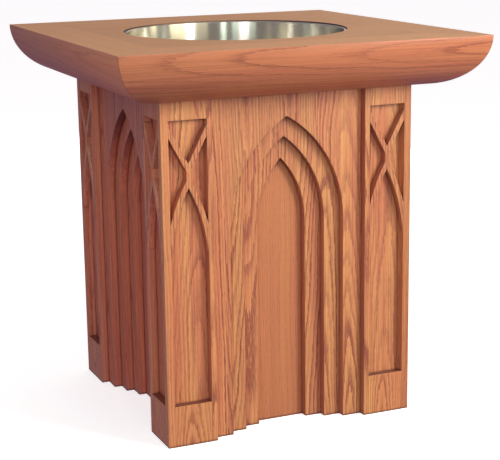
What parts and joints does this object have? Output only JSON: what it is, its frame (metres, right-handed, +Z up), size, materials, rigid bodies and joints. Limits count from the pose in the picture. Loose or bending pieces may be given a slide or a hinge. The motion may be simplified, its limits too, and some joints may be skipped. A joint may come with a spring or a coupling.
{
  "type": "baptismal font",
  "caption": "Square oak baptismal font: a pedestal with stepped pointed arches and tracery corner strips, a wide quarter-round top and a lift-out steel bowl.",
  "frame": {"origin": "centre of the pedestal's base, on the floor", "axes": "+Z up; -Y towards the side that is taken as the front; +X to the right seen from the front"},
  "size_m": [0.89, 0.89, 0.914],
  "materials": {
    "pedestal_oak": "red oak board, warm medium stain, satin lacquer, open vertical grain",
    "strip_oak": "red oak strip, warm medium stain, satin lacquer",
    "moulding_oak": "red oak moulding, warm medium stain, satin lacquer, grain along its length",
    "top_oak": "red oak top, satin lacquer, fine grain",
    "inner_wood": "plain unfinished hardwood, hidden inside",
    "bowl_steel": "satin stainless steel",
    "screw_steel": "zinc-plated steel"
  },
  "bodies": {
    "font": {"front_outer_arch": "pedestal_oak", "front_middle_arch": "pedestal_oak", "front_inner_arch": "pedestal_oak", "front_back_panel": "pedestal_oak", "front_stiles": "strip_oak", "front_foot_blocks": "strip_oak", "front_head_blocks": "strip_oak", "front_tracery_left": "strip_oak", "front_tracery_right": "strip_oak", "front_cleat": "inner_wood", "front_top_rail": "inner_wood", "front_moulding": "moulding_oak", "right_outer_arch": "pedestal_oak", "right_middle_arch": "pedestal_oak", "right_inner_arch": "pedestal_oak", "right_back_panel": "pedestal_oak", "right_stiles": "strip_oak", "right_foot_blocks": "strip_oak", "right_head_blocks": "strip_oak", "right_tracery_left": "strip_oak", "right_tracery_right": "strip_oak", "right_cleat": "inner_wood", "right_top_rail": "inner_wood", "right_moulding": "moulding_oak", "back_outer_arch": "pedestal_oak", "back_middle_arch": "pedestal_oak", "back_inner_arch": "pedestal_oak", "back_back_panel": "pedestal_oak", "back_stiles": "strip_oak", "back_foot_blocks": "strip_oak", "back_head_blocks": "strip_oak", "back_tracery_left": "strip_oak", "back_tracery_right": "strip_oak", "back_cleat": "inner_wood", "back_top_rail": "inner_wood", "back_moulding": "moulding_oak", "left_outer_arch": "pedestal_oak", "left_middle_arch": "pedestal_oak", "left_inner_arch": "pedestal_oak", "left_back_panel": "pedestal_oak", "left_stiles": "strip_oak", "left_foot_blocks": "strip_oak", "left_head_blocks": "strip_oak", "left_tracery_left": "strip_oak", "left_tracery_right": "strip_oak", "left_cleat": "inner_wood", "left_top_rail": "inner_wood", "left_moulding": "moulding_oak", "front_left_corner_post": "strip_oak", "front_left_glue_block": "inner_wood", "front_right_corner_post": "strip_oak", "front_right_glue_block": "inner_wood", "back_right_corner_post": "strip_oak", "back_right_glue_block": "inner_wood", "back_left_corner_post": "strip_oak", "back_left_glue_block": "inner_wood", "sub_top": "moulding_oak", "top_panel": "top_oak", "screws": "screw_steel"},
    "bowl": {"bowl": "bowl_steel"}
  },
  "joints": [
    {"name": "bowl_lift", "type": "slide", "parent": "font", "child": "bowl", "axis": [0, 0, 1], "range_m": [0, 0.2]}
  ]
}
